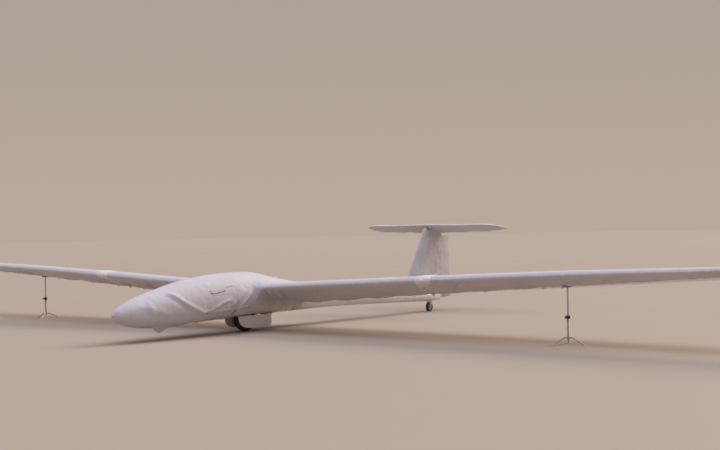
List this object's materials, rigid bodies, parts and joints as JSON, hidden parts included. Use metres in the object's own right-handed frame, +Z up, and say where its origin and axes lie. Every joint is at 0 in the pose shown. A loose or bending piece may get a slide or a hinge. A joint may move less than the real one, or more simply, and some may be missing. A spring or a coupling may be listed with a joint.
{
  "type": "sailplane glider",
  "caption": "Single-wheel T-tail sailplane parked on its gear and two wing stands, with cloth covers over fuselage, wings and tail.",
  "frame": {"origin": "on the ground, in the plane of symmetry, midway between nose and tail", "axes": "+X to the nose, +Y to the port wing tip, +Z up"},
  "size_m": [7.8, 18, 1.527],
  "materials": {
    "gelcoat": "glossy white gelcoat",
    "cover_cloth": "pale coated cover cloth",
    "webbing": "woven strap",
    "tyre": "matt rubber",
    "alloy": "cast and turned",
    "steel": "plain",
    "zinc": "galvanised, dull",
    "pad": "dark, soft"
  },
  "bodies": {
    "root": {"fuselage_pod": "gelcoat", "tail_boom": "gelcoat", "wing_inner_left": "gelcoat", "wing_inner_right": "gelcoat", "wing_outer_left": "gelcoat", "wing_outer_right": "gelcoat", "fin": "gelcoat", "tailplane": "gelcoat", "fuselage_cover": "cover_cloth", "nose_flap": "cover_cloth", "wing_cover_inner_left": "cover_cloth", "wing_cover_inner_right": "cover_cloth", "wing_cover_outer_left": "cover_cloth", "wing_cover_outer_right": "cover_cloth", "fin_cover": "cover_cloth", "tailplane_cover": "cover_cloth", "wing_strap_left": "webbing", "wing_strap_right": "webbing", "gear_fork": "alloy", "tail_fork": "alloy", "main_axle": "steel", "tail_axle": "steel", "gear_door_hinge_left": "steel", "gear_door_hinge_right": "steel", "stand_base_left": "zinc", "stand_base_right": "zinc", "stand_post_left": "zinc", "stand_post_right": "zinc", "stand_clamp_left": "pad", "stand_clamp_right": "pad", "stand_cradle_left": "pad", "stand_cradle_right": "pad"},
    "main_wheel": {"main_rim": "alloy", "main_tyre": "tyre"},
    "tail_wheel": {"tail_rim": "alloy", "tail_tyre": "tyre"},
    "gear_door_left": {"gear_door_left": "gelcoat"},
    "gear_door_right": {"gear_door_right": "gelcoat"},
    "rudder": {"rudder": "gelcoat", "rudder_cover": "cover_cloth"},
    "elevator": {"elevator": "gelcoat", "elevator_cover": "cover_cloth"},
    "aileron_left": {"aileron_left": "gelcoat", "aileron_cover_left": "cover_cloth"},
    "aileron_right": {"aileron_right": "gelcoat", "aileron_cover_right": "cover_cloth"}
  },
  "joints": [
    {"name": "main_wheel_spin", "type": "hinge", "parent": "root", "child": "main_wheel", "pos_m": [1.35, 0, 0.19], "axis": [0, 1, 0], "continuous": true},
    {"name": "tail_wheel_spin", "type": "hinge", "parent": "root", "child": "tail_wheel", "pos_m": [-3.24, 0, 0.082], "axis": [0, 1, 0], "continuous": true},
    {"name": "gear_door_left_hinge", "type": "hinge", "parent": "root", "child": "gear_door_left", "pos_m": [1.278, 0.138, 0.236], "axis": [1, 0, 0], "range_deg": [-25, 20]},
    {"name": "gear_door_right_hinge", "type": "hinge", "parent": "root", "child": "gear_door_right", "pos_m": [1.278, -0.138, 0.236], "axis": [-1, 0, 0], "range_deg": [-25, 20]},
    {"name": "rudder_hinge", "type": "hinge", "parent": "root", "child": "rudder", "pos_m": [-3.56, 0, 0.77], "axis": [0, 0, 1], "range_deg": [-30, 30]},
    {"name": "elevator_hinge", "type": "hinge", "parent": "root", "child": "elevator", "pos_m": [-3.59, 0, 1.434], "axis": [0, 1, 0], "range_deg": [-20, 25]},
    {"name": "aileron_left_hinge", "type": "hinge", "parent": "root", "child": "aileron_left", "pos_m": [0.60915, 5.314, 0.75994], "axis": [0.0759, 0.9956, 0.0549], "range_deg": [-14, 25]},
    {"name": "aileron_right_hinge", "type": "hinge", "parent": "root", "child": "aileron_right", "pos_m": [0.60915, -5.314, 0.75994], "axis": [-0.0759, 0.9956, -0.0549], "range_deg": [-14, 25]}
  ]
}
